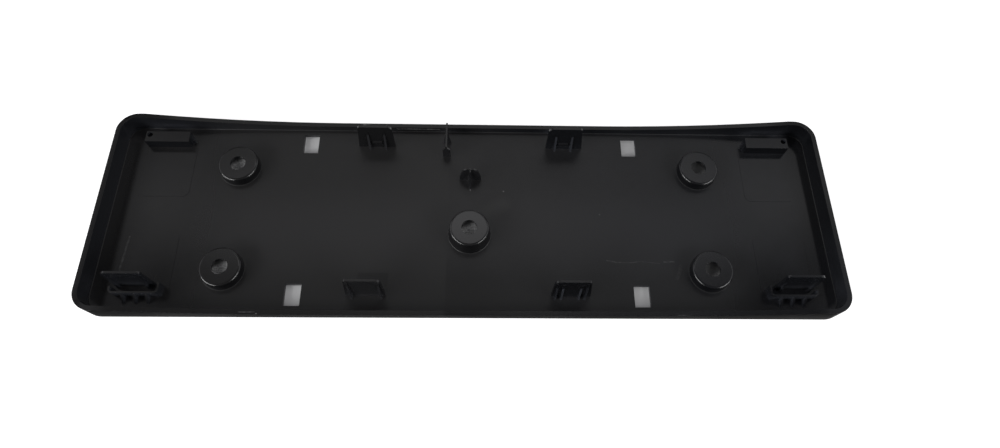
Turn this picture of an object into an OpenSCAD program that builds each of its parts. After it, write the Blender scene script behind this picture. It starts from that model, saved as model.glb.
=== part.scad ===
// Number plate holder: a one-piece moulded tray that lies on its flat show face.
// The ribbed fixing side looks up, and the rim is cut to the bow of the bumper behind it.
// Millimetres. X runs along the tray, Z points from the show face to the rim.

/* [Tray] */
// Length over the top of the rim
tray_w = 536; // [524:1:600]
// Depth over the top of the rim
tray_d = 157; // [150:1:190]
// Thickness of the flat panel
panel_t = 3; // [2.4:0.1:4]
// Height of the rim at both ends
rim_end_h = 17.5; // [15:0.5:24]
// Height of the rim at mid length
rim_mid_h = 8.2; // [6:0.1:12]
// Thickness of the rim wall
rim_t = 3.4; // [2.4:0.1:5]
// Half of the rim's length that stays at the middle height
bow_flat = 100; // [60:1:140]
// Radius of the curve by which the rim then rises towards each end
bow_r = 1200; // [900:10:2000]
// Radius of the corners seen from above
corner_r = 15; // [12:1:30]
// Radius round the edge of the show face
face_edge_r = 1; // [0.5:0.1:3]
// Fillet between the panel and the rim
panel_fillet_r = 0.5; // [0.3:0.1:3]
// Lean of every drafted wall, in millimetres for each millimetre of height
draft = 0.05; // [0.02:0.01:0.08]

/* [Windows] */
// Width of a window through the panel
window_w = 11.5; // [8:0.5:16]
// Depth of a window through the panel
window_d = 16.3; // [10:0.1:20]
// Distance between the window centres along the tray
window_span = 248; // [220:1:280]
// Distance from the outside of the rim to a window's centre
window_inset = 16.7; // [15:0.1:22]

/* [Screw bosses] */
// Distance between the corner bosses along the tray
boss_span_x = 350; // [320:1:380]
// Distance between the corner bosses across the tray
boss_span_y = 83.4; // [70:0.1:90]
// Offset of the corner bosses' middle towards the near side
boss_offset_y = 2; // [0:0.5:6]
// Offset of the centre boss towards the near side
centre_boss_offset_y = 13.8; // [0:0.1:20]
// Diameter of a corner boss at its top
boss_d = 29.6; // [24:0.1:34]
// Height of a corner boss above the panel
boss_h = 8; // [6:0.1:12]
// Lean of a corner boss's side
boss_draft = 0.03; // [0.02:0.01:0.08]
// Diameter of the centre boss at its top
centre_boss_d = 28.6; // [24:0.1:34]
// Height of the centre boss above the panel
centre_boss_h = 11.7; // [8:0.1:16]
// Lean of the centre boss's side
centre_boss_draft = 0.12; // [0.02:0.01:0.16]
// Radius round the top edge of a boss
boss_edge_r = 1.8; // [0.5:0.1:3]
// Fillet at the foot of a boss
boss_fillet_r = 0.5; // [0.3:0.1:2]
// Diameter of the screw cup inside a boss
cup_d = 23; // [18:0.1:24]
// Diameter of the dished drill mark on a boss
mark_d = 11.3; // [6:0.1:14]
// Depth of the drill mark at its edge
mark_edge_depth = 2.4; // [0.4:0.1:3]
// Extra depth of the dish at the middle of the drill mark
mark_dish_depth = 0.9; // [0.3:0.1:1.2]
// Height by which the dish is blunted at its middle
mark_blunt = 0.04; // [0.02:0.01:0.1]
// Material left between the drill mark and the screw cup
membrane_t = 1.3; // [0.8:0.1:2]

/* [Tall clips] */
// Distance from mid length to the middle of a clip
clip_x = 71.7; // [60:0.1:90]
// Distance from the outside of the rim to the inner face of a clip
clip_inset = 18.5; // [17:0.5:24]
// Width of a clip at its top
clip_w = 25.2; // [22:0.1:30]
// Width that a clip gains at its foot on the side that faces mid length
clip_near_flare = 0.6; // [0.2:0.1:3]
// Width that a clip gains at its foot on the side that faces the end
clip_far_flare = 2.4; // [0.2:0.1:3]
// Height of a clip above the panel
clip_h = 27.4; // [20:0.1:34]
// Thickness of a tall plate at its foot
plate_foot_t = 2.1; // [1.6:0.1:3]
// Thickness of a tall plate at its top
plate_top_t = 1.6; // [1.2:0.1:2]
// Radius of the top corner that faces mid length
clip_near_r = 4; // [1:0.5:6]
// Radius of the top corner that faces the end
clip_far_r = 2; // [1:0.5:4]
// Thickness of a rib
rib_t = 1.5; // [1:0.1:2]
// Distance between the edge ribs of a clip
edge_rib_span = 21; // [18:0.5:22]
// Distance between the middle ribs of a clip
middle_rib_span = 12.4; // [10:0.1:14]
// Height of an edge rib
edge_rib_h = 24.5; // [14:0.5:26]
// Height of a middle rib
middle_rib_h = 22; // [12:0.5:26]
// Reach of a clip's ribs from the plate, at their feet
clip_rib_foot = 2.6; // [1.5:0.1:4]
// Width of the snap catch between the middle ribs
catch_w = 7.4; // [4:0.1:8]
// Height of the snap catch's top above the panel
catch_h = 8.6; // [6:0.1:14]
// Reach of the snap catch from the plate
catch_reach = 1.6; // [1:0.1:3]

/* [Corner pockets] */
// Distance from the outside of the rim's end to the pocket's outer side
pocket_end_inset = 20.2; // [18:0.1:30]
// Distance from the outside of the rim to the pocket's front
pocket_side_inset = 14.5; // [14:0.5:20]
// Width over the pocket's two cheeks
pocket_w = 34.3; // [30:0.1:38]
// Radius of the pocket's two front corners
pocket_r = 3; // [2:0.1:4]
// Room between the pocket's front and the tall plate behind it, walls included
pocket_d = 8; // [7:0.1:12]
// Height of the pocket's front
pocket_h = 8.8; // [7:0.1:14]
// Reach of the pocket's outer cheek from the pocket's front
pocket_cheek_d = 5; // [4:0.1:7]
// Thickness of the pocket's walls
pocket_wall_t = 1.3; // [1.2:0.1:1.8]
// Width of the tall plate behind the pocket, at its top
back_plate_w = 27; // [22:0.1:30]
// Width that the tall plate gains at its foot on each side
back_plate_flare = 0.6; // [0.2:0.1:1.5]
// Distance from the pocket's middle to the tall plate's middle, towards the end
back_plate_offset = 3.2; // [0:0.1:4]
// Height of the tall plate behind the pocket
back_plate_h = 25.4; // [18:0.1:32]
// Distance between the two ribs on the tall plate
back_rib_span = 21; // [16:0.1:22]
// Height of the ribs on the tall plate
back_rib_h = 21.5; // [12:0.5:24]
// Reach of those ribs at their feet
back_rib_foot = 2.2; // [1:0.1:3]
// Number of gussets in front of the pocket
gusset_count = 3; // [2:1:4]
// Distance between the gussets
gusset_step = 8.4; // [6:0.1:9]
// Height of a gusset
gusset_h = 7; // [4:0.5:7]
// Reach of a gusset at its foot
gusset_foot = 5.5; // [3:0.5:8]

/* [Corner blocks] */
// Distance from the outside of the rim's end to a block
block_end_inset = 20.2; // [18:0.1:30]
// Distance from the outside of the rim to the back of a block
block_side_inset = 12; // [10:0.5:18]
// Width of a block
block_w = 33; // [26:0.5:40]
// Depth of a block
block_d = 9; // [7:0.5:14]
// Height of a block
block_h = 8.5; // [6:0.5:12]
// Diameter of the locating hole in a block
block_hole_d = 4.2; // [3:0.1:5]
// Depth of the locating hole
block_hole_depth = 6.5; // [4:0.5:8]
// Distance from a block's two outer faces to the hole's axis
block_hole_inset = 2.9; // [2.8:0.1:5]
// Reach of the small rib at a block's inner end
block_rib_foot = 3; // [2:0.5:5]
// Height of that rib
block_rib_h = 6; // [3:0.5:6]

/* [Fin and tab] */
// Distance from mid length to the guide fin
fin_x = 18.4; // [10:0.1:30]
// Distance from the outside of the rim to the fin's free end
fin_reach = 27; // [20:0.5:40]
// Height of the fin above the panel
fin_h = 14.8; // [8:0.1:20]
// Distance by which the fin's top stops short of the rim wall
fin_set_back = 2; // [1:0.1:4]
// Thickness of the fin at its foot
fin_foot_t = 2.2; // [1.6:0.1:3]
// Thickness of the fin at its top
fin_top_t = 1.2; // [1:0.1:1.5]
// Thickness of the two plates that cross the fin
fin_cross_t = 1.3; // [1.2:0.1:2]
// Width of the plate across the fin's free end
fin_end_w = 5.8; // [4:0.1:8]
// Height at which that plate starts to narrow
fin_end_shoulder_h = 9.7; // [6:0.1:11]
// Height of that plate
fin_end_h = 12.5; // [11:0.1:14]
// Distance from the fin's free end to the brace behind it
fin_brace_set_back = 12.6; // [8:0.1:16]
// Width of the brace at its foot
fin_brace_w = 6; // [4:0.1:8]
// Height of the brace
fin_brace_h = 12.8; // [8:0.1:14]
// Distance from mid depth to the arched tab
tab_y = 31.3; // [20:0.1:40]
// Width of the arched tab at its foot
tab_w = 16.2; // [14:0.1:24]
// Height of the arched tab
tab_h = 16.3; // [14:0.1:24]
// Height of the tab's upright sides
tab_side_h = 3; // [1:0.1:5]
// Radius of the tab's arched top
tab_arch_r = 6.5; // [5:0.1:7]
// Reach of the tab's gusset at its foot
tab_rib_foot = 8.5; // [4:0.5:12]

/* [Insert pads] */
// Height by which a mould insert's pad stands above the panel
pad_h = 0.2; // [0.1:0.05:0.4]
// Distance from the outside of the rim's end to a pad
pad_end_inset = 19.6; // [15:0.1:24]
// Width of a pad
pad_w = 38; // [30:0.5:46]
// Distance from mid depth to the inner edge of a pad
pad_y = 15; // [10:0.5:24]
// Radius of a pad's corners
pad_r = 5; // [2:0.5:8]

/* [Hidden] */
$fn = 64;
bow_fn = 1440;
// Length by which a joined shape reaches into its neighbour
sink = 1;
// Length by which a cut runs past the surface that it opens
past = 1;
// Depth by which a rounding crosses the straight wall that it runs into
blend = 0.002;
lean = sqrt(1 + draft * draft);
corner_axis_x = tray_w / 2 - corner_r;
corner_axis_y = tray_d / 2 - corner_r;
mark_dish_r = (pow(mark_d / 2, 2) + pow(mark_dish_depth, 2)) / (2 * mark_dish_depth);
clip_y = tray_d / 2 - clip_inset;
pocket_x = tray_w / 2 - pocket_end_inset - pocket_w / 2;
pocket_y = tray_d / 2 - pocket_side_inset;
block_x = tray_w / 2 - block_end_inset;
block_y = tray_d / 2 - block_side_inset;
pad_x = tray_w / 2 - pad_end_inset;

// Drafted section of a rim corner from the corner's axis outwards, with a rounded lower edge;
// foot is its reach from the axis at z = 0
module half_section(foot, h, edge_r) {
    round_x = foot + draft * edge_r - edge_r * lean;
    edge_in = edge_r - blend;
    polygon([
        [0, 0],
        [round_x, 0],
        [round_x + edge_in / lean, edge_r - draft * edge_in / lean],
        [foot + draft * h, h],
        [0, h],
    ]);
    translate([round_x, edge_r]) circle(edge_r);
}

// The same section on both sides of a run whose corner axes lie at -axis_x and axis_x
module full_section(axis_x, foot, h, edge_r) {
    translate([-axis_x, 0]) square([2 * axis_x, h]);
    translate([axis_x, 0]) half_section(foot, h, edge_r);
    translate([-axis_x, 0]) mirror([1, 0]) half_section(foot, h, edge_r);
}

// Rounded rectangular block on the rim's four corner axes, with sides that lean out by the draft
module drafted_block(foot, h, edge_r) {
    rotate([90, 0, 90])
        linear_extrude(2 * corner_axis_x, center = true)
            full_section(corner_axis_y, foot, h, edge_r);
    rotate([90, 0, 0])
        linear_extrude(2 * corner_axis_y, center = true)
            full_section(corner_axis_x, foot, h, edge_r);
    for (side = [0, 1])
        mirror([side, 0, 0])
            for (end = [0, 1])
                mirror([0, end, 0])
                    translate([corner_axis_x, corner_axis_y, 0])
                        rotate_extrude(angle = 90) half_section(foot, h, edge_r);
}

// Cut above the rim: level over mid length, then rising towards each end
module rim_bow() {
    cut_d = tray_d + 2 * past;
    translate([-bow_flat, -cut_d / 2, rim_mid_h]) cube([2 * bow_flat, cut_d, rim_end_h]);
    for (side = [-1, 1])
        translate([side * bow_flat, 0, rim_mid_h + bow_r])
            rotate([90, 0, 0]) cylinder(r = bow_r, h = cut_d, center = true, $fn = bow_fn);
}

module tray() {
    outer_foot = corner_r - draft * rim_end_h;
    inner_foot = corner_r - rim_t - draft * (rim_end_h - panel_t);
    difference() {
        drafted_block(outer_foot, rim_end_h, face_edge_r);
        translate([0, 0, panel_t]) drafted_block(inner_foot, rim_end_h, panel_fillet_r);
        rim_bow();
    }
}

// Outline of a boss from its axis outwards: a foot fillet, a side that leans by slope, and a
// rounded top edge; d is the diameter at the top
module boss_section(d, h, slope) {
    run = sqrt(1 + slope * slope);
    foot_x = d / 2 + slope * (h - boss_fillet_r) + boss_fillet_r * run;
    edge_x = d / 2 + slope * boss_edge_r - boss_edge_r * run;
    fillet_in = boss_fillet_r - blend;
    edge_in = boss_edge_r - blend;
    difference() {
        union() {
            polygon([
                [0, -sink],
                [foot_x, -sink],
                [foot_x, 0],
                [foot_x - fillet_in / run, boss_fillet_r - slope * fillet_in / run],
                [edge_x + edge_in / run, h - boss_edge_r + slope * edge_in / run],
                [edge_x, h],
                [0, h],
            ]);
            translate([edge_x, h - boss_edge_r]) circle(boss_edge_r);
        }
        translate([foot_x, boss_fillet_r]) circle(boss_fillet_r);
    }
}

module boss(d, h, slope) {
    translate([0, 0, panel_t]) rotate_extrude($fn = 96) boss_section(d, h, slope);
}

// Screw cup sunk into the show face, and the dished drill mark on the boss above it
module boss_cuts(h) {
    top = panel_t + h;
    cup_depth = top - mark_edge_depth - mark_dish_depth - membrane_t;
    translate([0, 0, -past]) cylinder(d = cup_d, h = cup_depth + past, $fn = 96);
    translate([0, 0, top - mark_edge_depth - mark_dish_depth])
        intersection() {
            translate([0, 0, mark_dish_r]) sphere(mark_dish_r, $fn = 128);
            translate([0, 0, mark_blunt])
                cylinder(d = mark_d, h = mark_edge_depth + mark_dish_depth + past);
        }
}

module at_corner_bosses() {
    for (x = [-1, 1])
        for (y = [-1, 1])
            translate([x * boss_span_x / 2, y * boss_span_y / 2 - boss_offset_y, 0])
                children();
}

module at_centre_boss() {
    translate([0, -centre_boss_offset_y, 0]) children();
}

// Upright plate with its face on y = 0 and its back towards +Y, thinner at the top; w is its
// width at the top, and the -X side has the first of each pair of corner radii and foot flares
module tall_plate(w, h, radii, flares) {
    translate([0, 0, panel_t])
        intersection() {
            rotate([90, 0, 90])
                linear_extrude(w + 2 * max(flares) + past, center = true)
                    polygon([[0, -sink], [plate_foot_t, -sink], [plate_top_t, h], [0, h]]);
            rotate([90, 0, 0])
                linear_extrude(2 * plate_foot_t + past, center = true) {
                    polygon([
                        [-w / 2 - flares[0], -sink],
                        [w / 2 + flares[1], -sink],
                        [w / 2 + flares[1], 0],
                        [w / 2, h - radii[1]],
                        [w / 2 - radii[1], h],
                        [radii[0] - w / 2, h],
                        [-w / 2, h - radii[0]],
                        [-w / 2 - flares[0], 0],
                    ]);
                    translate([radii[0] - w / 2, h - radii[0]]) circle(radii[0]);
                    translate([w / 2 - radii[1], h - radii[1]]) circle(radii[1]);
                }
        }
}

// Upright triangular rib: its back lies on y = 0, and its foot reaches towards -Y
module rib(foot, h) {
    translate([0, 0, panel_t])
        rotate([90, 0, 90])
            linear_extrude(rib_t, center = true)
                polygon([[-foot, -sink], [sink, -sink], [sink, h], [0, h], [-foot, 0]]);
}

module snap_catch() {
    translate([0, 0, panel_t])
        rotate([90, 0, 90])
            linear_extrude(catch_w, center = true)
                polygon([
                    [sink, catch_h],
                    [-catch_reach, catch_h],
                    [-catch_reach, catch_h - catch_reach],
                    [0, catch_h - 3 * catch_reach],
                    [sink, catch_h - 3 * catch_reach],
                ]);
}

// Tall clip with its inner face on y = 0; the rim lies towards +Y and mid length towards -X
module clip(braced) {
    tall_plate(clip_w, clip_h, [clip_near_r, clip_far_r], [clip_near_flare, clip_far_flare]);
    for (side = [-1, 1]) {
        translate([side * middle_rib_span / 2, 0, 0]) rib(clip_rib_foot, middle_rib_h);
        translate([side * edge_rib_span / 2, plate_foot_t, 0])
            mirror([0, 1, 0]) rib(clip_rib_foot, edge_rib_h);
        if (braced)
            translate([side * middle_rib_span / 2, plate_foot_t, 0])
                mirror([0, 1, 0]) rib(clip_rib_foot, middle_rib_h);
    }
    snap_catch();
}

module clips() {
    for (side = [0, 1])
        mirror([side, 0, 0]) {
            translate([clip_x, clip_y, 0]) clip(false);
            translate([clip_x, -clip_y, 0]) mirror([0, 1, 0]) clip(side == 0);
        }
}

// Plan of a block with two rounded front corners; its front lies on y = 0
module round_fronted(half_w, d, r) {
    translate([-half_w, r]) square([2 * half_w, d - r]);
    translate([r - half_w, 0]) square([2 * (half_w - r), d]);
    for (side = [-1, 1])
        translate([side * (half_w - r), r]) circle(r);
}

// Low U-shaped wall in plan, open towards +Y; the cheek on the +X side is the short one
module pocket_plan() {
    half = pocket_w / 2;
    difference() {
        round_fronted(half, pocket_d, pocket_r);
        translate([0, pocket_wall_t])
            round_fronted(half - pocket_wall_t, pocket_d, pocket_r - pocket_wall_t);
        translate([half / 2, pocket_cheek_d]) square([half, pocket_d]);
    }
}

module corner_pocket() {
    translate([pocket_x, -pocket_y, 0]) {
        translate([0, 0, panel_t - sink]) linear_extrude(pocket_h + sink) pocket_plan();
        for (i = [0 : gusset_count - 1])
            translate([(i - (gusset_count - 1) / 2) * gusset_step, 0, 0]) rib(gusset_foot, gusset_h);
        translate([back_plate_offset, pocket_d, 0]) {
            tall_plate(
                back_plate_w,
                back_plate_h,
                [clip_far_r, clip_near_r],
                [back_plate_flare, back_plate_flare]
            );
            for (side = [-1, 1])
                translate([side * back_rib_span / 2, 0, 0]) rib(back_rib_foot, back_rib_h);
        }
    }
}

module corner_block() {
    translate([block_x - block_w, block_y - block_d, panel_t - sink])
        cube([block_w, block_d, block_h + sink]);
    translate([block_x - block_w, block_y - block_d / 2, 0])
        rotate([0, 0, -90]) rib(block_rib_foot, block_rib_h);
}

module block_hole() {
    translate([
        block_x - block_hole_inset,
        block_y - block_hole_inset,
        panel_t + block_h - block_hole_depth
    ])
        cylinder(d = block_hole_d, h = block_hole_depth + past);
}

// Upright plate across the fin: w wide up to shoulder_h, then narrowing to the fin's top width
module fin_cross(w, shoulder_h, h) {
    translate([0, fin_cross_t, 0])
        rotate([90, 0, 0])
            linear_extrude(fin_cross_t)
                polygon([
                    [-w / 2, -sink],
                    [w / 2, -sink],
                    [w / 2, shoulder_h],
                    [fin_top_t / 2, h],
                    [-fin_top_t / 2, h],
                    [-w / 2, shoulder_h],
                ]);
}

// Fin that stands on the panel and the far wall; its top stops short of the wall by fin_set_back
module guide_fin() {
    fin_start = tray_d / 2 - fin_reach;
    fin_end = tray_d / 2 - rim_t;
    translate([-fin_x, 0, panel_t]) {
        intersection() {
            translate([0, fin_end, 0])
                rotate([90, 0, 0])
                    linear_extrude(fin_end - fin_start)
                        polygon([
                            [-fin_foot_t / 2, -sink],
                            [fin_foot_t / 2, -sink],
                            [fin_foot_t / 2, 0],
                            [fin_top_t / 2, fin_h],
                            [-fin_top_t / 2, fin_h],
                            [-fin_foot_t / 2, 0],
                        ]);
            rotate([90, 0, 90])
                linear_extrude(fin_foot_t + past, center = true)
                    polygon([
                        [fin_start, -sink],
                        [fin_end, -sink],
                        [fin_end, 0],
                        [fin_end - fin_set_back, fin_h],
                        [fin_start, fin_h],
                    ]);
        }
        translate([0, fin_start, 0]) fin_cross(fin_end_w, fin_end_shoulder_h, fin_end_h);
        translate([0, fin_start + fin_brace_set_back, 0]) fin_cross(fin_brace_w, 0, fin_brace_h);
    }
}

// Arched tab with a gusset in front of it; the arch's two flanks run as tangents to the top arc
module arched_tab() {
    arch_z = tab_h - tab_arch_r;
    flank = norm([tab_w / 2, arch_z - tab_side_h]);
    touch = acos(tab_arch_r / flank) - atan2(arch_z - tab_side_h, tab_w / 2);
    touch_x = (tab_arch_r - blend) * cos(touch);
    touch_z = arch_z + (tab_arch_r - blend) * sin(touch);
    translate([0, tab_y + plate_foot_t, panel_t])
        rotate([90, 0, 0])
            linear_extrude(plate_foot_t) {
                polygon([
                    [-tab_w / 2, -sink],
                    [tab_w / 2, -sink],
                    [tab_w / 2, tab_side_h],
                    [touch_x, touch_z],
                    [-touch_x, touch_z],
                    [-tab_w / 2, tab_side_h],
                ]);
                translate([0, arch_z]) circle(tab_arch_r);
            }
    translate([0, tab_y, 0]) rib(tab_rib_foot, tab_h - sink);
}

// Faint pad left by a mould insert, with rounded corners on its inner edge
module insert_pad(y_start, y_end) {
    translate([0, 0, panel_t - sink])
        linear_extrude(sink + pad_h) {
            translate([pad_x - pad_w, y_start + pad_r]) square([pad_w, y_end - y_start - pad_r]);
            translate([pad_x - pad_w + pad_r, y_start]) square([pad_w - 2 * pad_r, 2 * pad_r]);
            translate([pad_x - pad_w + pad_r, y_start + pad_r]) circle(pad_r);
            translate([pad_x - pad_r, y_start + pad_r]) circle(pad_r);
        }
}

module windows() {
    window_y = tray_d / 2 - window_inset;
    for (x = [-1, 1])
        for (y = [-1, 1])
            translate([x * window_span / 2, y * window_y, panel_t / 2])
                cube([window_w, window_d, panel_t + 2 * past], center = true);
}

module plate_holder() {
    color([0.16, 0.16, 0.165])
        difference() {
            union() {
                tray();
                at_corner_bosses() boss(boss_d, boss_h, boss_draft);
                at_centre_boss() boss(centre_boss_d, centre_boss_h, centre_boss_draft);
                clips();
                for (side = [0, 1])
                    mirror([side, 0, 0]) {
                        corner_pocket();
                        corner_block();
                        insert_pad(pad_y, block_y - block_d);
                        mirror([0, 1, 0]) insert_pad(pad_y, pocket_y - pocket_d);
                    }
                guide_fin();
                arched_tab();
            }
            windows();
            at_corner_bosses() boss_cuts(boss_h);
            at_centre_boss() boss_cuts(centre_boss_h);
            for (side = [0, 1])
                mirror([side, 0, 0]) block_hole();
        }
}

plate_holder();
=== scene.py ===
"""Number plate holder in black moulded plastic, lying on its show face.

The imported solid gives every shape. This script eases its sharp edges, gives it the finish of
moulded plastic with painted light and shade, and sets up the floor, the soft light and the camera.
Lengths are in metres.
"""

import math

import bmesh
import bpy
from mathutils import Matrix, Vector


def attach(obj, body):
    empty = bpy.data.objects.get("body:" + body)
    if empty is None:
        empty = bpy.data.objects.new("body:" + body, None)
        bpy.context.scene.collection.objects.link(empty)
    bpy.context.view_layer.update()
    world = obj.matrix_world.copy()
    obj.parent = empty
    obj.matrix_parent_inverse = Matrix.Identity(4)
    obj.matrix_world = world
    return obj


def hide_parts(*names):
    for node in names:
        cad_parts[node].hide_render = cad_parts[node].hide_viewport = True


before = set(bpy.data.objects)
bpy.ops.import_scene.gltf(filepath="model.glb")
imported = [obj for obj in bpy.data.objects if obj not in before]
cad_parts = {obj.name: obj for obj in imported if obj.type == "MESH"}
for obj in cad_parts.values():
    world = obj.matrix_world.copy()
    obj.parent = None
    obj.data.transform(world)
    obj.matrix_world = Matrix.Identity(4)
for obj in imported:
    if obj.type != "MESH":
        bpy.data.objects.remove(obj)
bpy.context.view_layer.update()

MM = 0.001

# Sizes of the holder, as in its source
PANEL_T = 3 * MM
HALF_W = 268 * MM
HALF_D = 78.5 * MM
CORNER_R = 15 * MM
BOSS_X = 175 * MM
BOSS_Y = 41.7 * MM
BOSS_OFFSET_Y = 2 * MM
CENTRE_BOSS_Y = -13.8 * MM
MARK_R = 5.65 * MM
BOSS_FOOT_R = 16 * MM
CUP_TOP = 6.4 * MM
TAB_Y = 31.3 * MM
TAB_T = 2.1 * MM
TAB_H = 16.3 * MM
TAB_HALF_W = 8.3 * MM
TAB_TOP_T = 1 * MM
CLIP_X = 71.7 * MM
CLIP_Y = 60 * MM
EDGE_RIB_X = 10.5 * MM
MIDDLE_RIB_X = 6.2 * MM
RIB_REACH = 1 * MM

# Edges that the mould steel leaves slightly round
EASED_R = 0.35 * MM
THIN_EDGE_SHARE = 0.6
EASED_STEPS = 3
SHARP_ANGLE = math.radians(50)
SMOOTH_ANGLE = math.radians(32)
MERGE_GAP = 1e-6
FLAT_ANGLE = math.radians(0.2)

# Depth inside the outline that still belongs to the grained outer wall
SKIN_DEPTH = 2.2 * MM

# Boxes on the panel with painted light and shade, and a darker box behind the near left clip: low corner,
# high corner, soft edge, in millimetres
DARK_BOX_BEHIND_CLIP = ((-79.4, -60.0), (-57.7, -45.0), 0.5)
POCKET = ((220.0, -65.0), (247.0, -54.5), 1.0)
BEHIND_BLOCK = ((238.0, 62.0), (262.0, 76.0), 3.0)
FAR_LEFT_CLIP = ((-90.0, 57.0), (-54.0, 64.0), 0.5)
NEAR_RIGHT_CLIP = ((54.0, -64.0), (90.0, -57.0), 0.5)
BLOCK_FRONT = ((205.0, 55.0), (252.0, 61.0), 0.5)
BACK_PLATE = ((215.0, -60.0), (252.0, -50.0), 0.5)

# Tones laid over the black one after the other, many of them painted light and shade: share at most, grey
# level, blue in it
TONES = {
    "mottle": (0.35, 0.0140, 1.04),
    "speckle": (0.45, 0.0160, 1.04),
    # painted reflections: paler left of the line at x = -16.5 mm and in a band across mid width; painted
    # shade on the panel towards the front
    "painted_sheen_left_of_line": (0.60, 0.0140, 0.99),
    "band": (0.70, 0.0200, 1.04),
    "near_side": (0.60, 0.0030, 1.04),
    "smear": (0.50, 0.0300, 0.98),
    # darker box on the panel behind the near left clip
    "insert": (0.75, 0.0030, 1.04),
    # painted shade right of that line towards the front
    "painted_shade_right_of_line": (0.80, 0.0040, 1.04),
    # painted light at the ends of the tray, where the walls shade the panel
    "painted_light_at_ends": (0.75, 0.0160, 1.04),
    # painted shade on upright faces right of the middle
    "right_face": (0.50, 0.0030, 1.04),
    # painted light in the corner pockets, where they lie in shade
    "pocket": (0.50, 0.0160, 1.04),
    # painted light on the left rim top, painted shade on the far and right rim tops
    "left_rim_light": (1.00, 0.0240, 1.04),
    "rim_shade": (1.00, 0.0040, 1.04),
    # painted highlights on the front edges of the clips' ribs
    "left_rib_highlights": (0.80, 0.0260, 1.04),
    "right_rib_highlights": (0.80, 0.0400, 1.04),
    # painted light that lifts the shade in inside corners, more of it deep inside them
    "corner_light": (0.85, 0.0260, 1.04),
    "deep_corner_light": (0.80, 0.0550, 1.04),
    # painted light on the panel behind the corner blocks, where they cast shade
    "painted_light_behind_block": (0.60, 0.0600, 1.04),
    # painted shade on upright faces of bosses, ends, clips, blocks and plates
    "upright_shade": (0.80, 0.0035, 1.04),
}
# reach of the painted corner light
CORNER_LIGHT_REACH = 25 * MM
SCUFF_AND_HIGHLIGHT_GREY = 0.30
DISH_GREY = 0.010
# greys of the painted glints in the dishes and of the painted shade on the fillets at the feet
LIT_DISH_GREY = 0.190
DARK_FOOT_GREY = 0.0020
# painted tint of the light: warm on flat faces to the left, bluish on upright faces and to the right
WARM_TINT = (1.02, 1.00, 1.00, 1.0)
COOL_TINT = (0.94, 1.00, 1.14, 1.0)

# Refraction of the plastic, and depths of its waves, flow streaks, grain and drill cuts
PLASTIC_IOR = 1.5
WAVE_DEPTH = 0.05 * MM
STREAK_DEPTH = 0.004 * MM
GRAIN_DEPTH = 0.003 * MM
CUT_DEPTH = 0.25 * MM
SKIN_GRAIN_DEPTH = 0.012 * MM
SKIN_SPECULAR = 0.015

# Scuffs, moulding marks and painted highlights: start, end, half width and strength, places in
# millimetres
SCUFFS_AND_HIGHLIGHTS = [
    ((100.4, -34.3, 3), (107.0, -35.7, 3), 0.15, 0.11),
    ((107.0, -35.7, 3), (118.0, -35.9, 3), 0.10, 0.12),
    ((118.0, -35.9, 3), (125.0, -34.9, 3), 0.10, 0.10),
    ((125.0, -34.9, 3), (139.0, -36.4, 3), 0.10, 0.06),
    ((142.0, -35.2, 3), (149.5, -34.9, 3), 0.20, 0.13),
    ((154.2, -38.2, 3), (152.6, -43.7, 3), 1.00, 0.05),
    ((152.6, -43.7, 3), (150.4, -48.0, 3), 1.00, 0.04),
    ((-246.0, -18.0, 3), (-247.6, -44.5, 3), 0.45, 0.10),
    ((25.2, 21.7, 3), (25.4, 21.7, 3), 0.20, 0.60),
    ((97.3, 2.8, 3), (97.5, 2.8, 3), 0.20, 0.40),
    # painted highlight along the far inner wall
    ((-58.0, 74.55, 6.3), (-25.0, 74.55, 6.3), 0.20, 0.50),
    ((-157.0, -76.6, 9.6), (-146.5, -76.5, 9.3), 0.15, 0.16),
    ((-145.2, -77.6, 9.4), (-144.9, -77.6, 9.4), 0.25, 0.60),
    ((146.6, -77.6, 9.4), (155.6, -77.4, 9.7), 0.15, 0.12),
    ((-84.5, 77.0, 8.2), (-79.5, 77.0, 8.2), 0.20, 0.50),
    # painted highlights at the top and foot of the tab's rib
    ((0.0, 30.9, 18.2), (0.0, 30.2, 17.2), 0.25, 0.30),
    ((0.0, 22.6, 3.1), (0.0, 22.3, 3.1), 0.30, 0.30),
]

# Floor and dome: paint of the floor, its glow, and light of the dome's base, patch and sides
FLOOR_PAINT = 0.70
FLOOR_GLOW = 0.8
DOME_BASE = 0.02
DOME_PATCH = 1.50
DOME_SIDES = 0.90
FLAG_CLOTH = 0.01

# Camera, as fitted to the photograph
CAMERA_PLACE = Vector((8.3, -220.4, 464.6)) * MM
CAMERA_PITCH = math.radians(65.0)
CAMERA_YAW = math.radians(-3.8)
CAMERA_ROLL = math.radians(3.9)
PHOTO_W = 1000
FOCAL_PX = 684.8
SENSOR_W = 36.0


def select_only(piece):
    bpy.ops.object.select_all(action="DESELECT")
    piece.select_set(True)
    bpy.context.view_layer.objects.active = piece


def apply_modifiers(piece):
    select_only(piece)
    for modifier in list(piece.modifiers):
        bpy.ops.object.modifier_apply(modifier=modifier.name)


def depth_inside(place):
    """Distance from the rim's outline, seen from above, inwards to a place."""
    past_x = abs(place.x) - (HALF_W - CORNER_R)
    past_y = abs(place.y) - (HALF_D - CORNER_R)
    if past_x > 0 and past_y > 0:
        return CORNER_R - math.hypot(past_x, past_y)
    return min(HALF_W - abs(place.x), HALF_D - abs(place.y))


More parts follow.
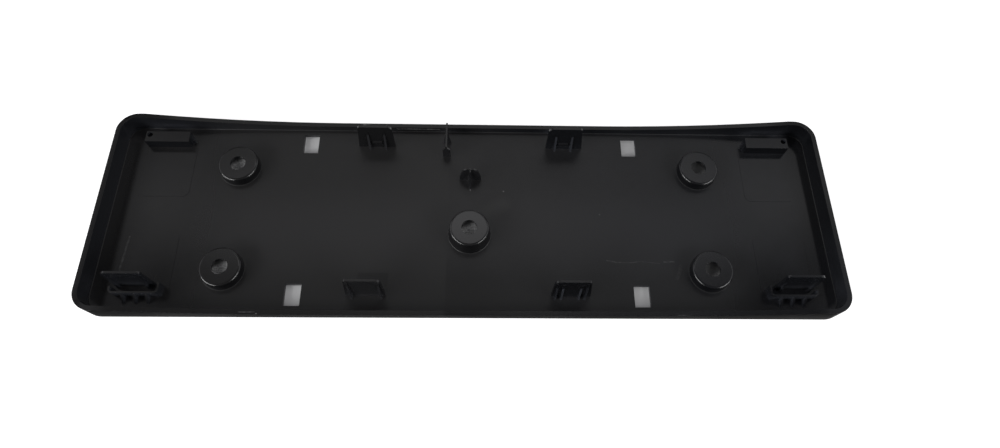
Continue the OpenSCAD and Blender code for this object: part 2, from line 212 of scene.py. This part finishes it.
def weigh_edges(piece):
    """Marks the outward edges that stand clear of the panel, thin ribs less than thick walls."""
    edges = bmesh.new()
    edges.from_mesh(piece.data)
    weight = edges.edges.layers.float.new("bevel_weight_edge")
    for edge in edges.edges:
        if len(edge.link_faces) != 2 or edge.calc_face_angle() < SHARP_ANGLE or not edge.is_convex:
            continue
        heights = [corner.co.z for corner in edge.verts]
        on_pad = PANEL_T + 0.1 * MM < max(heights) < PANEL_T + 0.5 * MM
        if on_pad:
            continue
        middle = (edge.verts[0].co + edge.verts[1].co) / 2
        on_rim = depth_inside(middle) < 6 * MM
        edge[weight] = 1.0 if on_rim else THIN_EDGE_SHARE
    edges.to_mesh(piece.data)
    edges.free()


def draft_tab(piece):
    """Thins the arched tab towards its top from behind, so that it leaves the mould."""
    slope = (TAB_T - TAB_TOP_T) / TAB_H
    for corner in piece.data.vertices:
        behind = abs(corner.co.y - TAB_Y - TAB_T) < 0.05 * MM
        if behind and abs(corner.co.x) < TAB_HALF_W and corner.co.z > PANEL_T:
            corner.co.y -= slope * (corner.co.z - PANEL_T)


def moulded_holder():
    """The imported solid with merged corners, whole flat faces and slightly rounded edges."""
    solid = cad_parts["plate_holder"]
    piece = bpy.data.objects.new("moulded_holder", solid.data.copy())
    bpy.context.scene.collection.objects.link(piece)
    select_only(piece)
    bpy.ops.mesh.customdata_custom_splitnormals_clear()
    bpy.ops.object.mode_set(mode="EDIT")
    bpy.ops.mesh.select_all(action="SELECT")
    bpy.ops.mesh.remove_doubles(threshold=MERGE_GAP)
    bpy.ops.mesh.dissolve_limited(angle_limit=FLAT_ANGLE)
    bpy.ops.object.mode_set(mode="OBJECT")
    draft_tab(piece)

    weigh_edges(piece)
    easing = piece.modifiers.new("eased_edges", "BEVEL")
    easing.limit_method = "WEIGHT"
    easing.width = EASED_R
    easing.segments = EASED_STEPS
    easing.miter_outer = "MITER_ARC"
    apply_modifiers(piece)

    select_only(piece)
    bpy.ops.object.shade_smooth_by_angle(angle=SMOOTH_ANGLE)
    shading = piece.modifiers.new("flat_faces_stay_flat", "WEIGHTED_NORMAL")
    shading.keep_sharp = True
    apply_modifiers(piece)

    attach(piece, "root")
    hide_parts("plate_holder")
    return piece


def give_finishes(piece, inside, skin):
    """Glossier plastic inside the tray, and the grained skin on its outer walls and show face."""
    piece.data.materials.clear()
    piece.data.materials.append(inside)
    piece.data.materials.append(skin)
    for face in piece.data.polygons:
        on_show_face = face.center.z < 0.1 * MM
        on_outer_wall = face.normal.z < 0.5 and depth_inside(face.center) < SKIN_DEPTH
        face.material_index = 1 if on_show_face or on_outer_wall else 0


class Nodes:
    """Short calls that add linked shader nodes to one material or world."""

    def __init__(self, tree):
        self.tree = tree
        tree.nodes.clear()

    def add(self, kind, **settings):
        node = self.tree.nodes.new(kind)
        for name, value in settings.items():
            setattr(node, name, value)
        return node

    def feed(self, socket, value):
        if isinstance(value, bpy.types.NodeSocket):
            self.tree.links.new(value, socket)
        else:
            socket.default_value = value

    def axes(self, vector):
        node = self.add("ShaderNodeSeparateXYZ")
        self.feed(node.inputs[0], vector)
        return node.outputs[0], node.outputs[1], node.outputs[2]

    def math(self, operation, *values, clamp=False):
        node = self.add("ShaderNodeMath", operation=operation, use_clamp=clamp)
        for socket, value in zip(node.inputs, values):
            self.feed(socket, value)
        return node.outputs[0]

    def times(self, first, *others):
        """Product of two or more values."""
        for other in others:
            first = self.math("MULTIPLY", first, other)
        return first

    def most(self, first, *others):
        """Largest of two or more values."""
        for other in others:
            first = self.math("MAXIMUM", first, other)
        return first

    def less(self, value):
        """What is left of 1 once value is taken away."""
        return self.math("SUBTRACT", 1.0, value)

    def vector(self, operation, *values, output="Vector"):
        node = self.add("ShaderNodeVectorMath", operation=operation)
        for socket, value in zip(node.inputs, values):
            self.feed(socket, value)
        return node.outputs[output]

    def scale(self, vector, factor):
        node = self.add("ShaderNodeVectorMath", operation="SCALE")
        self.feed(node.inputs[0], vector)
        self.feed(node.inputs["Scale"], factor)
        return node.outputs["Vector"]

    def ramp(self, value, start, end, low=0.0, high=1.0):
        """Smooth step of value from start to end, given out as low to high."""
        node = self.add("ShaderNodeMapRange", interpolation_type="SMOOTHSTEP")
        for socket, item in zip(node.inputs, (value, start, end, low, high)):
            self.feed(socket, item)
        return node.outputs[0]

    def within(self, value, start, end, soft):
        """1 between start and end, fading to 0 over twice the soft length at both."""
        rising = self.ramp(value, start - soft, start + soft)
        falling = self.ramp(value, end - soft, end + soft, 1.0, 0.0)
        return self.math("MULTIPLY", rising, falling)

    def patch(self, x, y, low, high, soft):
        """1 inside the box from low to high on the panel, in millimetres."""
        along = self.within(x, low[0] * MM, high[0] * MM, soft * MM)
        across = self.within(y, low[1] * MM, high[1] * MM, soft * MM)
        return self.math("MULTIPLY", along, across)

    def stroke(self, place, start, end, half_width, soft):
        """1 on a line between two places, fading out over soft beside it, in millimetres."""
        start = Vector(start) * MM
        run = Vector(end) * MM - start
        offset = self.vector("SUBTRACT", place, start)
        share = self.vector("DOT_PRODUCT", offset, run / run.length_squared, output="Value")
        share = self.math("ADD", share, 0.0, clamp=True)
        gap = self.vector("DISTANCE", offset, self.scale(run, share), output="Value")
        return self.ramp(gap, half_width * MM, (half_width + soft) * MM, 1.0, 0.0)

    def noise(self, place, scale, detail=2.0, roughness=0.5, output="Fac"):
        node = self.add("ShaderNodeTexNoise")
        self.feed(node.inputs["Vector"], place)
        self.feed(node.inputs["Scale"], scale)
        self.feed(node.inputs["Detail"], detail)
        self.feed(node.inputs["Roughness"], roughness)
        return node.outputs[output]

    def mix(self, share, first, second):
        node = self.add("ShaderNodeMix", data_type="RGBA")
        for name, value in (("Factor", share), ("A", first), ("B", second)):
            socket = next(s for s in node.inputs if s.name == name and s.enabled)
            self.feed(socket, value)
        return next(s for s in node.outputs if s.enabled)

    def bump(self, height, depth, normal=None):
        node = self.add("ShaderNodeBump")
        node.inputs["Strength"].default_value = 1.0
        node.inputs["Distance"].default_value = depth
        self.feed(node.inputs["Height"], height)
        if normal is not None:
            self.feed(node.inputs["Normal"], normal)
        return node.outputs["Normal"]


def grey(level, blue=1.04):
    return (level, level, level * blue, 1.0)


def drill_marks(n, x, y, z, up):
    """Masks of the five dished drill marks, of their sides with painted light, and of all that is on a
    boss.
    """
    centres = [(0.0, CENTRE_BOSS_Y)]
    centres += [(i * BOSS_X, j * BOSS_Y - BOSS_OFFSET_Y) for i in (-1, 1) for j in (-1, 1)]
    cut, lit, on_boss = 0.0, 0.0, 0.0
    for centre_x, centre_y in centres:
        right = n.math("SUBTRACT", x, centre_x)
        behind = n.math("SUBTRACT", y, centre_y)
        gap = n.math("SQRT", n.math("ADD", n.math("POWER", right, 2.0), n.math("POWER", behind, 2.0)))
        inside = n.ramp(gap, MARK_R - 0.1 * MM, MARK_R + 0.1 * MM, 1.0, 0.0)
        lean = n.math("SUBTRACT", n.math("MULTIPLY", right, 0.45), n.math("MULTIPLY", behind, 0.85))
        cut = n.math("ADD", cut, inside)
        on_boss = n.math("ADD", on_boss, n.ramp(gap, BOSS_FOOT_R, BOSS_FOOT_R + MM, 1.0, 0.0))
        # painted shade on the far side of each dish, over more of it in the dishes on the right
        shade_end = 0.25 if centre_x > 0 else -0.8
        light = n.ramp(lean, shade_end * MARK_R, (shade_end + 0.7) * MARK_R)
        lit = n.math("ADD", lit, n.math("MULTIPLY", inside, light))
    bottom = n.math("MULTIPLY", n.ramp(up, 0.5, 0.7), n.ramp(z, CUP_TOP, CUP_TOP + MM))
    return n.math("MULTIPLY", cut, bottom), n.math("MULTIPLY", lit, bottom), on_boss


def main_places(n, x, y, z, up):
    """Masks of the main places on the holder, which tones, tint and gloss go by."""
    beside = n.math("ABSOLUTE", x)
    end = n.ramp(beside, 150 * MM, 235 * MM)
    at_end = n.ramp(beside, 247 * MM, 255 * MM)
    steep = n.ramp(up, 0.4, 0.8, 1.0, 0.0)
    return {
        "end": end,
        "middle": n.less(end),
        "at_end": at_end,
        "left_end": n.times(at_end, n.ramp(x, -10 * MM, 10 * MM, 1.0, 0.0)),
        "right_end": n.times(at_end, n.ramp(x, 0.0, 10 * MM), n.ramp(y, -45 * MM, 0.0)),
        "steep": steep,
        "right_face": n.times(steep, n.ramp(x, 0.0, 40 * MM), n.less(at_end)),
        "on_panel": n.ramp(z, PANEL_T + 0.1 * MM, PANEL_T + 0.5 * MM, 1.0, 0.0),
    }


def panel_reflections_and_smear(n, places, place, x, y):
    """Painted reflections on the panel, paler left of a line at x = -16.5 mm and across mid width,
    painted shade near that line and towards the front, and a paler smear.
    """
    left_of_line = n.ramp(x, -17.4 * MM, -15.6 * MM, 1.0, 0.0)
    right_of_line = n.times(n.within(x, -16.5 * MM, 40 * MM, 0.5 * MM), n.ramp(x, 0.0, 40 * MM, 1.0, 0.0))
    return {
        "painted_sheen_left_of_line": n.times(left_of_line, n.math("ADD", n.times(places["middle"], 0.7), 0.3)),
        "band": n.times(n.within(y, -32 * MM, 14 * MM, 20 * MM), places["middle"]),
        "near_side": n.times(n.ramp(y, -68 * MM, -36 * MM, 1.0, 0.0), places["on_panel"]),
        "smear": n.stroke(place, (11.0, 2.5, 3), (24.0, 10.5, 3), 0.5, 9.0),
        "painted_shade_right_of_line": n.times(right_of_line, n.ramp(y, -55 * MM, -25 * MM, 1.0, 0.0)),
    }


def rim_tops(n, x, y, z, up):
    """Painted light on the rim's top at the left end, and painted shade on it on the far side and at the
    right end.
    """
    rim_top = n.times(n.ramp(z, 7 * MM, 8 * MM), n.ramp(up, 0.8, 0.9))
    far = n.times(rim_top, n.ramp(y, HALF_D - 6 * MM, HALF_D - 4 * MM))
    right = n.times(rim_top, n.ramp(x, HALF_W - 6 * MM, HALF_W - 4 * MM), n.ramp(y, -40 * MM, 0.0))
    return {
        "left_rim_light": n.times(rim_top, n.ramp(x, -HALF_W, -HALF_W + 5 * MM, 1.0, 0.0)),
        "rim_shade": n.most(far, right),
    }


def rib_front_highlights(n, x, y, facing):
    """Painted highlights on the front edges of the clips' ribs; facing is below 0 where a face looks to
    the front.
    """
    from_clip = n.math("ABSOLUTE", n.math("SUBTRACT", n.math("ABSOLUTE", x), CLIP_X))
    edge_rib = n.within(from_clip, EDGE_RIB_X - RIB_REACH, EDGE_RIB_X + RIB_REACH, 0.1 * MM)
    middle_rib = n.within(from_clip, MIDDLE_RIB_X - RIB_REACH, MIDDLE_RIB_X + RIB_REACH, 0.1 * MM)
    before_clip = n.math("SUBTRACT", CLIP_Y, n.math("ABSOLUTE", y))
    inner = n.within(before_clip, 0.5 * MM, 3 * MM, 0.1 * MM)
    outer = n.within(before_clip, -6 * MM, -2.6 * MM, 0.1 * MM)
    fronts = n.times(n.most(n.times(edge_rib, 0.5), middle_rib), n.ramp(facing, -0.95, -0.85, 1.0, 0.0))
    return n.times(fronts, n.most(inner, outer))


def painted_shade_on_uprights(n, places, x, y, on_boss, ribs):
    """Painted shade on upright faces, in the darkest black: bosses, ends, two clips, blocks and plates.
    """
    beside = n.math("ABSOLUTE", x)
    steep = places["steep"]
    upright_shade = n.most(
        n.times(on_boss, steep),
        n.times(places["right_end"], 0.85),
        n.times(places["left_end"], steep, 0.4),
        n.times(n.patch(x, y, *FAR_LEFT_CLIP), steep, 0.6),
        n.times(n.patch(x, y, *NEAR_RIGHT_CLIP), steep, 0.7),
        n.times(n.patch(beside, y, *BLOCK_FRONT), steep, 0.7),
        n.times(n.patch(beside, y, *BACK_PLATE), steep, 0.4),
    )
    return n.times(upright_shade, n.less(ribs))


def corner_light(n, up):
    """Painted light that lifts the shade in the inside corners, and more of it deep inside them."""
    corners = n.add("ShaderNodeAmbientOcclusion", samples=8)
    corners.inputs["Distance"].default_value = CORNER_LIGHT_REACH
    openness = corners.outputs["AO"]
    upward_share = n.ramp(up, 0.0, 0.6, 0.4, 1.0)
    return {
        "corner_light": n.times(n.ramp(openness, 0.25, 0.85, 1.0, 0.0), upward_share),
        "deep_corner_light": n.ramp(openness, 0.10, 0.45, 1.0, 0.0),
    }


def toned_black(n, place, normal, places, on_boss, clouds):
    """Black of the plastic with its tones, painted light and shade, and a painted bluish tint of the
    light on upright faces and to the right.
    """
    x, y, z = n.axes(place)
    _, facing, up = n.axes(normal)
    beside = n.math("ABSOLUTE", x)
    ribs = rib_front_highlights(n, x, y, facing)
    low_down = n.ramp(z, PANEL_T, PANEL_T + 3 * MM, 1.0, 0.0)
    near_end = n.times(places["at_end"], n.ramp(y, -50 * MM, 0.0, 1.0, 0.0))
    masks = {
        "mottle": n.ramp(n.noise(place, 140.0, 3.0, 0.6), 0.3, 0.7),
        "speckle": n.ramp(n.noise(place, 1000.0, 1.0), 0.4, 0.7),
        **panel_reflections_and_smear(n, places, place, x, y),
        "insert": n.patch(x, y, *DARK_BOX_BEHIND_CLIP),
        "painted_light_at_ends": n.most(places["left_end"], near_end),
        "right_face": places["right_face"],
        "pocket": n.patch(beside, y, *POCKET),
        **rim_tops(n, x, y, z, up),
        "left_rib_highlights": n.times(ribs, n.ramp(x, -20 * MM, 20 * MM, 1.0, 0.0)),
        "right_rib_highlights": n.times(ribs, n.ramp(x, -20 * MM, 20 * MM)),
        **corner_light(n, up),
        "painted_light_behind_block": n.times(n.patch(beside, y, *BEHIND_BLOCK), low_down),
        "upright_shade": painted_shade_on_uprights(n, places, x, y, on_boss, ribs),
    }
    colour = n.mix(clouds, grey(0.0080), grey(0.0100))
    for name, (share, level, blue) in TONES.items():
        colour = n.mix(n.times(masks[name], share), colour, grey(level, blue))

    # painted bluish tint of the light on upright faces and towards the right
    upright = n.times(places["steep"], n.math("ADD", n.times(places["end"], 0.6), 0.4))
    cool = n.most(upright, places["right_face"], n.ramp(x, -30 * MM, 220 * MM, 0.0, 0.7))
    return n.vector("MULTIPLY", colour, n.mix(cool, WARM_TINT, COOL_TINT))


def scuff_and_highlight_marks(n, place):
    """Mask of the scuffs and painted highlights, which wander a little and break up where only brushed.
    """
    wander = n.vector("SUBTRACT", n.noise(place, 160.0, 2.0, output="Color"), (0.5, 0.5, 0.5))
    wobbled = n.vector("ADD", place, n.scale(wander, 0.9 * MM))
    lines = [n.times(n.stroke(wobbled, start, stop, half_width, 0.5), strength)
             for start, stop, half_width, strength in SCUFFS_AND_HIGHLIGHTS]
    broken = n.ramp(n.noise(place, 420.0, 2.0), 0.42, 0.58)
    return n.times(n.most(*lines), n.math("ADD", n.times(broken, 0.6), 0.4))


def inside_corners(n, place, z, up):
    """Mask of the small fillets at the foot of what stands on the panel, away from the middle."""
    low = n.ramp(z, PANEL_T + 0.6 * MM, PANEL_T + 0.8 * MM, 1.0, 0.0)
    flat_place = n.vector("MULTIPLY", place, Vector((1.0, 1.0, 0.0)))
    from_middle = n.vector("LENGTH", flat_place, output="Value")
    return n.times(low, n.within(up, 0.15, 0.97, 0.02), n.ramp(from_middle, 45 * MM, 60 * MM))


def moulded_plastic():
    """Black plastic: fine grain, uneven gloss, painted reflections, light and shade, pale scuffs, painted
    highlights and drilled dishes.
    """
    material = bpy.data.materials.new("moulded_plastic")
    material.use_nodes = True
    n = Nodes(material.node_tree)
    surface = n.add("ShaderNodeTexCoord")
    place = surface.outputs["Object"]
    normal = surface.outputs["Normal"]
    x, y, z = n.axes(place)
    up = n.axes(normal)[2]
    clouds = n.noise(place, 9.0, 3.0)
    places = main_places(n, x, y, z, up)
    drilled, lit, on_boss = drill_marks(n, x, y, z, up)
    scuff_and_highlight_mask = scuff_and_highlight_marks(n, place)
    foot = inside_corners(n, place, z, up)

    # The dishes are cut rough; painted glints on their lit sides, paler in the dishes on the left than in
    # those on the right
    sparkle = n.noise(place, 900.0, 2.0, 0.7)
    painted_glints = n.times(n.ramp(sparkle, 0.35, 0.65, 0.3, 1.0), n.ramp(x, 60 * MM, 170 * MM, 1.0, 0.8))
    colour = toned_black(n, place, normal, places, on_boss, clouds)
    colour = n.mix(scuff_and_highlight_mask, colour, grey(SCUFF_AND_HIGHLIGHT_GREY, 1.0))
    colour = n.mix(drilled, colour, grey(DISH_GREY, 1.0))
    colour = n.mix(n.times(lit, painted_glints), colour, grey(LIT_DISH_GREY, 1.0))
    # painted shade on the small fillets at the foot of the end walls and bosses
    painted_foot_shade = n.times(foot, n.most(places["at_end"], on_boss), 0.90)
    colour = n.mix(painted_foot_shade, colour, grey(DARK_FOOT_GREY))

    # The panel is satin in the middle and glossier towards its ends; its inside corners are dull
    roughness = n.ramp(clouds, 0.35, 0.65, 0.13, 0.17)
    for mask, rise in (
        (n.times(places["middle"], places["on_panel"]), 0.21),
        (places["middle"], 0.04),
        (drilled, 0.15),
        (scuff_and_highlight_mask, 0.25),
        (foot, 0.40),
    ):
        roughness = n.math("ADD", roughness, n.times(mask, rise))

    along = n.vector("MULTIPLY", place, Vector((25.0, 260.0, 25.0)))
    waved = n.bump(n.noise(place, 30.0, 1.0), WAVE_DEPTH)
    streaked = n.bump(n.noise(along, 1.0, 2.0), STREAK_DEPTH, waved)
    grained = n.bump(n.noise(place, 1600.0, 2.0, 0.6), GRAIN_DEPTH, streaked)
    cut = n.bump(n.times(drilled, sparkle), CUT_DEPTH, grained)

    shader = n.add("ShaderNodeBsdfPrincipled")
    n.feed(shader.inputs["Base Color"], colour)
    n.feed(shader.inputs["Roughness"], roughness)
    n.feed(shader.inputs["Normal"], cut)
    shader.inputs["IOR"].default_value = PLASTIC_IOR
    output = n.add("ShaderNodeOutputMaterial")
    n.feed(output.inputs["Surface"], shader.outputs[0])
    return material


def grained_skin():
    """The same plastic with the fine spark-eroded grain of the side that stays in view."""
    material = bpy.data.materials.new("grained_skin")
    material.use_nodes = True
    n = Nodes(material.node_tree)
    place = n.add("ShaderNodeTexCoord").outputs["Object"]
    clouds = n.noise(place, 14.0, 3.0)
    grain = n.noise(place, 2200.0, 2.0, 0.6)
    colour = n.mix(clouds, grey(0.0070), grey(0.0105))
    shader = n.add("ShaderNodeBsdfPrincipled")
    n.feed(shader.inputs["Base Color"], colour)
    n.feed(shader.inputs["Roughness"], n.ramp(clouds, 0.35, 0.65, 0.48, 0.58))
    n.feed(shader.inputs["Normal"], n.bump(grain, SKIN_GRAIN_DEPTH))
    shader.inputs["IOR"].default_value = PLASTIC_IOR
    shader.inputs["Specular IOR Level"].default_value = SKIN_SPECULAR
    output = n.add("ShaderNodeOutputMaterial")
    n.feed(output.inputs["Surface"], shader.outputs[0])
    return material


def pale_floor():
    """White to the camera and in reflections, and grey where the holder stands on it."""
    bpy.ops.object.select_all(action="DESELECT")
    bpy.ops.mesh.primitive_plane_add(size=12, location=(0, 0, -0.0002))
    floor = bpy.context.active_object
    floor.name = "studio_floor"
    material = bpy.data.materials.new("studio_floor")
    material.use_nodes = True
    n = Nodes(material.node_tree)
    x, y, _ = n.axes(n.add("ShaderNodeTexCoord").outputs["Object"])
    outside_x = n.ramp(n.math("ABSOLUTE", x), HALF_W - 12 * MM, HALF_W - 4 * MM)
    outside_y = n.ramp(n.math("ABSOLUTE", y), HALF_D - 8 * MM, HALF_D - 3 * MM)
    outside = n.math("MAXIMUM", outside_x, outside_y)
    rays = n.add("ShaderNodeLightPath")
    seen = n.math("MAXIMUM", rays.outputs["Is Camera Ray"], rays.outputs["Is Glossy Ray"])
    seen = n.math("MAXIMUM", seen, rays.outputs["Is Transmission Ray"])

    paint = n.add("ShaderNodeBsdfDiffuse")
    paint.inputs["Color"].default_value = (FLOOR_PAINT, FLOOR_PAINT, FLOOR_PAINT, 1)
    glow = n.add("ShaderNodeEmission")
    n.feed(glow.inputs["Strength"], n.times(seen, outside, FLOOR_GLOW))
    both = n.add("ShaderNodeAddShader")
    n.feed(both.inputs[0], paint.outputs[0])
    n.feed(both.inputs[1], glow.outputs[0])
    output = n.add("ShaderNodeOutputMaterial")
    n.feed(output.inputs["Surface"], both.outputs[0])
    floor.data.materials.append(material)


def studio_world():
    """A dome with a broad bright patch high behind the holder, and soft fill from both sides."""
    world = bpy.data.worlds.new("studio_dome")
    bpy.context.scene.world = world
    world.use_nodes = True
    n = Nodes(world.node_tree)
    side, away, _ = n.axes(n.add("ShaderNodeTexCoord").outputs["Generated"])
    far_left = n.times(n.ramp(side, -0.35, -0.10, 0.55, 0.0), n.ramp(away, 0.38, 0.50))
    side = n.math("ABSOLUTE", side)
    patch = n.times(
        n.ramp(away, 0.31, 0.42),
        n.ramp(away, 0.40, 0.56, 1.0, 0.25),
        n.ramp(side, 0.12, 0.40, 1.0, 0.38),
        n.less(far_left),
    )
    colour = n.mix(patch, grey(DOME_BASE), grey(DOME_PATCH, 1.02))
    near_side = n.times(n.ramp(side, 0.39, 0.49, 0.0, 0.3), n.ramp(away, 0.30, 0.42, 1.0, 0.0))
    fill = n.most(near_side, n.ramp(side, 0.55, 0.80, 0.0, 0.8))
    colour = n.mix(fill, colour, grey(DOME_SIDES, 1.04))
    dome = n.add("ShaderNodeBackground")
    n.feed(dome.inputs["Color"], colour)
    output = n.add("ShaderNodeOutputWorld")
    n.feed(output.inputs["Surface"], dome.outputs[0])


def flag(name, size, turn, place):
    """Black card beside the holder, seen in its gloss only."""
    bpy.ops.object.select_all(action="DESELECT")
    bpy.ops.mesh.primitive_plane_add(size=1, location=(0, 0, 0))
    card = bpy.context.active_object
    card.name = name
    card.scale = (size[0], size[1], 1)
    card.rotation_euler = turn
    card.location = place
    card.visible_camera = False
    card.visible_diffuse = False
    card.visible_shadow = False
    material = bpy.data.materials.new(name)
    material.use_nodes = True
    n = Nodes(material.node_tree)
    cloth = n.add("ShaderNodeBsdfDiffuse")
    cloth.inputs["Color"].default_value = (FLAG_CLOTH, FLAG_CLOTH, FLAG_CLOTH, 1)
    output = n.add("ShaderNodeOutputMaterial")
    n.feed(output.inputs["Surface"], cloth.outputs[0])
    card.data.materials.append(material)


def soft_box(name, azimuth, elevation, distance, width, height, power):
    """Area lamp that faces the holder; azimuth 0 is in front of it and 90 to its right."""
    lamp = bpy.data.lights.new(name, "AREA")
    lamp.shape = "RECTANGLE"
    lamp.size = width
    lamp.size_y = height
    lamp.energy = power
    box = bpy.data.objects.new(name, lamp)
    a, e = math.radians(azimuth), math.radians(elevation)
    away = Vector((math.sin(a) * math.cos(e), -math.cos(a) * math.cos(e), math.sin(e)))
    box.location = away * distance
    box.rotation_euler = away.to_track_quat("Z", "Y").to_euler()
    bpy.context.scene.collection.objects.link(box)


def photo_camera():
    camera = bpy.data.cameras.new("photo_camera")
    camera.sensor_fit = "HORIZONTAL"
    camera.sensor_width = SENSOR_W
    camera.lens = FOCAL_PX / PHOTO_W * SENSOR_W
    camera.clip_start = 0.01
    holder = bpy.data.objects.new("photo_camera", camera)
    bpy.context.scene.collection.objects.link(holder)
    turn = Matrix.Rotation(CAMERA_YAW, 3, "Z")
    forward = turn @ Vector((0, math.cos(CAMERA_PITCH), -math.sin(CAMERA_PITCH)))
    level = turn @ Vector((1, 0, 0))
    upward = level.cross(forward)
    right = level * math.cos(CAMERA_ROLL) + upward * math.sin(CAMERA_ROLL)
    up = upward * math.cos(CAMERA_ROLL) - level * math.sin(CAMERA_ROLL)
    axes = Matrix((right, up, -forward)).transposed()
    holder.matrix_world = Matrix.Translation(CAMERA_PLACE) @ axes.to_4x4()
    bpy.context.scene.camera = holder


photo_camera()
give_finishes(moulded_holder(), moulded_plastic(), grained_skin())
pale_floor()
studio_world()
upright = math.radians(90)
flag("left_flag", (30 * MM, 200 * MM), (0, upright, 0), (-HALF_W - 2 * MM, 0, 18.4 * MM))
flag("front_flag", (600 * MM, 16 * MM), (upright, 0, 0), (0, -HALF_D - 2 * MM, 8.2 * MM))
soft_box("left_strip", -58, 24, 1.8, 1.7, 0.4, 24)
soft_box("right_strip", 60, 26, 1.8, 1.2, 0.4, 12)

bpy.context.scene.view_settings.view_transform = "Standard"
